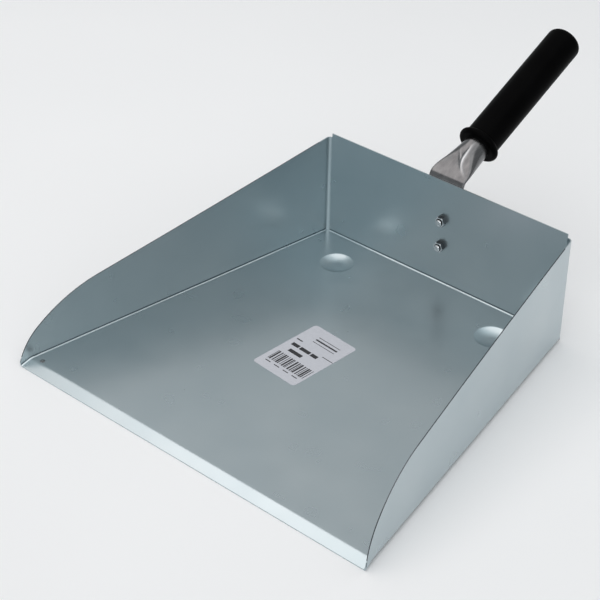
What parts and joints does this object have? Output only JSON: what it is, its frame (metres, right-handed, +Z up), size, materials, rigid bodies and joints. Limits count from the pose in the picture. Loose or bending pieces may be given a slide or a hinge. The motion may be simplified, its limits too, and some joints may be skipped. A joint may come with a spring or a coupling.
{
  "type": "dustpan",
  "caption": "Wide folded sheet-metal dustpan with a bent-down front lip, curved side walls, a bolted tube handle rising from the back wall and a plastic grip.",
  "frame": {"origin": "middle of the bounding box at its bottom, which is the level of the ground", "axes": "+Y from the lip's edge towards the end of the handle, +Z up, +X to the right of someone who faces +Y"},
  "size_m": [0.336, 0.4602, 0.1732],
  "materials": {
    "pan_steel": "satin, galvanised",
    "handle_steel": "satin, bare",
    "grip_plastic": "satin",
    "fastener_steel": "satin, zinc plated",
    "label_paper": null
  },
  "bodies": {
    "root": {"pan_sheet": "pan_steel", "handle_tube": "handle_steel", "grip_sleeve": "grip_plastic", "handle_bolts": "fastener_steel", "handle_nuts": "fastener_steel", "label_sticker": "label_paper"}
  },
  "joints": []
}
